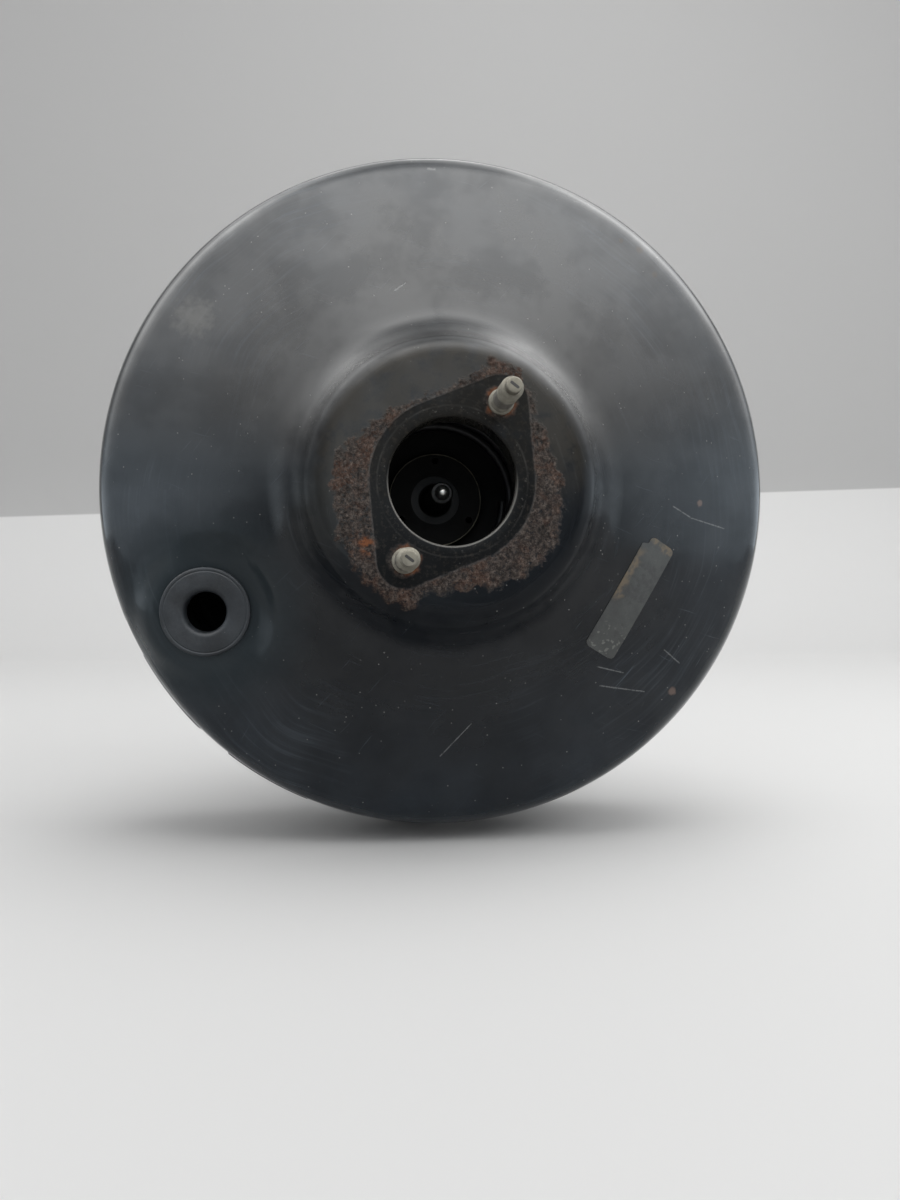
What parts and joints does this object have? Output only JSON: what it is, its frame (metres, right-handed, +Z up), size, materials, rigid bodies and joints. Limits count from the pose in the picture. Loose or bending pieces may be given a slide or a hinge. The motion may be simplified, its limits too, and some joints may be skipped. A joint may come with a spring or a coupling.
{
  "type": "brake booster",
  "caption": "Single-diaphragm vacuum brake booster: pressed steel housing halves crimped at the rim, master cylinder studs and opening in front, dust boot, input rod and pedal clevis behind.",
  "frame": {"origin": "The point where the booster axis meets the flat rear face that sits on the bulkhead.", "axes": "+Y runs along the booster axis toward the pedal, so the master cylinder side faces -Y; +Z is up as the part lies in the picture and +X is to the right seen from the master cylinder side."},
  "size_m": [0.2828, 0.289, 0.2828],
  "materials": {
    "black_paint": "gloss black stoving paint, scuffed, with rust where it has lifted",
    "zinc_steel": "dull yellowed zinc plate",
    "bright_steel": "ground steel",
    "spring_steel": "oiled dark spring wire",
    "grommet_rubber": "aged blue-grey rubber",
    "black_rubber": "matt black rubber",
    "label_film": "worn bare label film",
    "nylon": "moulded black nylon",
    "phenolic": "moulded phenolic resin",
    "felt": "grey felt"
  },
  "bodies": {
    "housing": {"front_shell": "black_paint", "rear_shell": "black_paint", "front_reinforcement_plate": "zinc_steel", "rear_reinforcement_plate": "zinc_steel", "master_cylinder_studs": "zinc_steel", "bulkhead_studs": "zinc_steel", "check_valve_grommet": "grommet_rubber", "label_strip": "label_film", "neck_bearing": "nylon", "neck_seal": "black_rubber", "neck_seal_retainer": "zinc_steel", "diaphragm": "black_rubber", "dust_boot": "black_rubber", "return_spring": "spring_steel"},
    "piston": {"valve_body": "phenolic", "diaphragm_plate": "zinc_steel", "reaction_disc": "black_rubber", "output_rod": "bright_steel", "output_rod_tip": "bright_steel", "output_rod_retainer": "zinc_steel", "poppet_retainer": "zinc_steel", "air_filter": "felt", "filter_cap": "nylon", "poppet_bellows": "black_rubber", "poppet_spring": "spring_steel", "input_return_spring": "spring_steel"},
    "plunger": {"valve_plunger": "bright_steel", "plunger_key": "zinc_steel"},
    "poppet": {"poppet_valve": "black_rubber", "poppet_washer": "zinc_steel"},
    "input_rod": {"input_rod": "bright_steel", "input_spring_washer": "zinc_steel", "clevis_lock_nut": "zinc_steel", "pedal_clevis": "zinc_steel"}
  },
  "joints": [
    {"name": "piston_slide", "type": "slide", "parent": "housing", "child": "piston", "axis": [0, -1, 0], "range_m": [0, 0.032], "stiffness_N_per_m": 3000, "springref_m": -0.02, "deforming": ["return_spring", "diaphragm", "dust_boot"]},
    {"name": "plunger_slide", "type": "slide", "parent": "piston", "child": "plunger", "axis": [0, -1, 0], "range_m": [0, 0.002], "stiffness_N_per_m": 2500, "springref_m": -0.01, "deforming": ["input_return_spring"]},
    {"name": "poppet_slide", "type": "slide", "parent": "piston", "child": "poppet", "axis": [0, -1, 0], "range_m": [0, 0.00095], "deforming": ["poppet_spring", "poppet_bellows"]},
    {"name": "input_rod_swing", "type": "hinge", "parent": "plunger", "child": "input_rod", "pos_m": [0, -0.0006, 0], "axis": [1, 0, 0], "range_deg": [-2.5, 2.5], "stiffness_Nm_per_rad": 15}
  ],
  "couplings": [
    {"joint": "poppet_slide", "follows": "plunger_slide", "ratio": 0.475}
  ]
}
